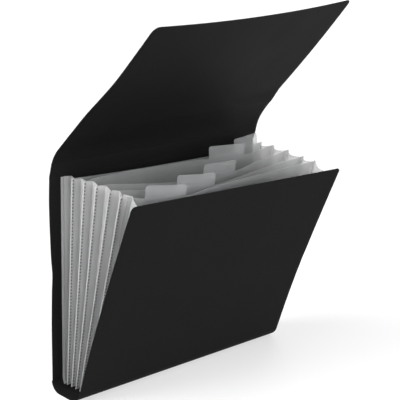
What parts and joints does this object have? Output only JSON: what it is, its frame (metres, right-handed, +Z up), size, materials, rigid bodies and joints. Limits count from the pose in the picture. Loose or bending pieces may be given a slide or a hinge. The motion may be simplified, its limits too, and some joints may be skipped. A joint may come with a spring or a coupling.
{
  "type": "accordion file folder",
  "caption": "Standing expanding file: a creased black cover with a hinged flap around a fan of translucent pleated pockets with staggered index tabs.",
  "frame": {"origin": "middle of the flat underside of the bottom strip", "axes": "+Z up, -Y to the front panel, +X to the right seen from the front"},
  "size_m": [0.335, 0.1271, 0.4271],
  "materials": {
    "cover_sheet": "matt black polypropylene sheet with a fine grain",
    "pocket_film": "frosted translucent polypropylene film"
  },
  "bodies": {
    "back_cover": {"back_panel": "cover_sheet", "bottom_strip": "cover_sheet", "rear_lining": "pocket_film", "left_pleat_1": "pocket_film", "right_pleat_1": "pocket_film", "pocket_floor_1": "pocket_film"},
    "leaf_1": {"divider_1": "pocket_film", "left_pleat_2": "pocket_film", "right_pleat_2": "pocket_film", "pocket_floor_2": "pocket_film"},
    "leaf_2": {"divider_2": "pocket_film", "left_pleat_3": "pocket_film", "right_pleat_3": "pocket_film", "pocket_floor_3": "pocket_film"},
    "leaf_3": {"divider_3": "pocket_film", "left_pleat_4": "pocket_film", "right_pleat_4": "pocket_film", "pocket_floor_4": "pocket_film"},
    "leaf_4": {"divider_4": "pocket_film", "left_pleat_5": "pocket_film", "right_pleat_5": "pocket_film", "pocket_floor_5": "pocket_film"},
    "leaf_5": {"divider_5": "pocket_film", "left_pleat_6": "pocket_film", "right_pleat_6": "pocket_film", "pocket_floor_6": "pocket_film"},
    "front_cover": {"front_panel": "cover_sheet", "front_lining": "pocket_film"},
    "spine_strip": {"top_strip": "cover_sheet"},
    "closing_flap": {"flap": "cover_sheet"}
  },
  "joints": [
    {"name": "pocket_1", "type": "hinge", "parent": "back_cover", "child": "leaf_1", "pos_m": [0, -0.02134, 0.01114], "axis": [1, 0, 0], "range_deg": [-3.67, 0], "deforming": ["left_pleat_1", "right_pleat_1", "pocket_floor_1"]},
    {"name": "pocket_2", "type": "hinge", "parent": "leaf_1", "child": "leaf_2", "pos_m": [0, -0.02134, 0.01114], "axis": [1, 0, 0], "range_deg": [-3.67, 0], "deforming": ["left_pleat_2", "right_pleat_2", "pocket_floor_2"]},
    {"name": "pocket_3", "type": "hinge", "parent": "leaf_2", "child": "leaf_3", "pos_m": [0, -0.02134, 0.01114], "axis": [1, 0, 0], "range_deg": [-3.67, 0], "deforming": ["left_pleat_3", "right_pleat_3", "pocket_floor_3"]},
    {"name": "pocket_4", "type": "hinge", "parent": "leaf_3", "child": "leaf_4", "pos_m": [0, -0.02134, 0.01114], "axis": [1, 0, 0], "range_deg": [-3.67, 0], "deforming": ["left_pleat_4", "right_pleat_4", "pocket_floor_4"]},
    {"name": "pocket_5", "type": "hinge", "parent": "leaf_4", "child": "leaf_5", "pos_m": [0, -0.02134, 0.01114], "axis": [1, 0, 0], "range_deg": [-3.67, 0], "deforming": ["left_pleat_5", "right_pleat_5", "pocket_floor_5"]},
    {"name": "pocket_6", "type": "hinge", "parent": "leaf_5", "child": "front_cover", "pos_m": [0, -0.02134, 0.01114], "axis": [1, 0, 0], "range_deg": [-3.67, 0], "deforming": ["left_pleat_6", "right_pleat_6", "pocket_floor_6"]},
    {"name": "spine_fold", "type": "hinge", "parent": "back_cover", "child": "spine_strip", "pos_m": [0, 0.05604, 0.2457], "axis": [1, 0, 0], "range_deg": [0, 60]},
    {"name": "flap_fold", "type": "hinge", "parent": "spine_strip", "child": "closing_flap", "pos_m": [0, 0.03625, 0.27999], "axis": [1, 0, 0], "range_deg": [-120, 70]}
  ],
  "couplings": [
    {"joint": "pocket_1", "follows": "spine_fold", "ratio": -0.061111},
    {"joint": "pocket_2", "follows": "spine_fold", "ratio": -0.061111},
    {"joint": "pocket_3", "follows": "spine_fold", "ratio": -0.061111},
    {"joint": "pocket_4", "follows": "spine_fold", "ratio": -0.061111},
    {"joint": "pocket_5", "follows": "spine_fold", "ratio": -0.061111},
    {"joint": "pocket_6", "follows": "spine_fold", "ratio": -0.061111}
  ]
}
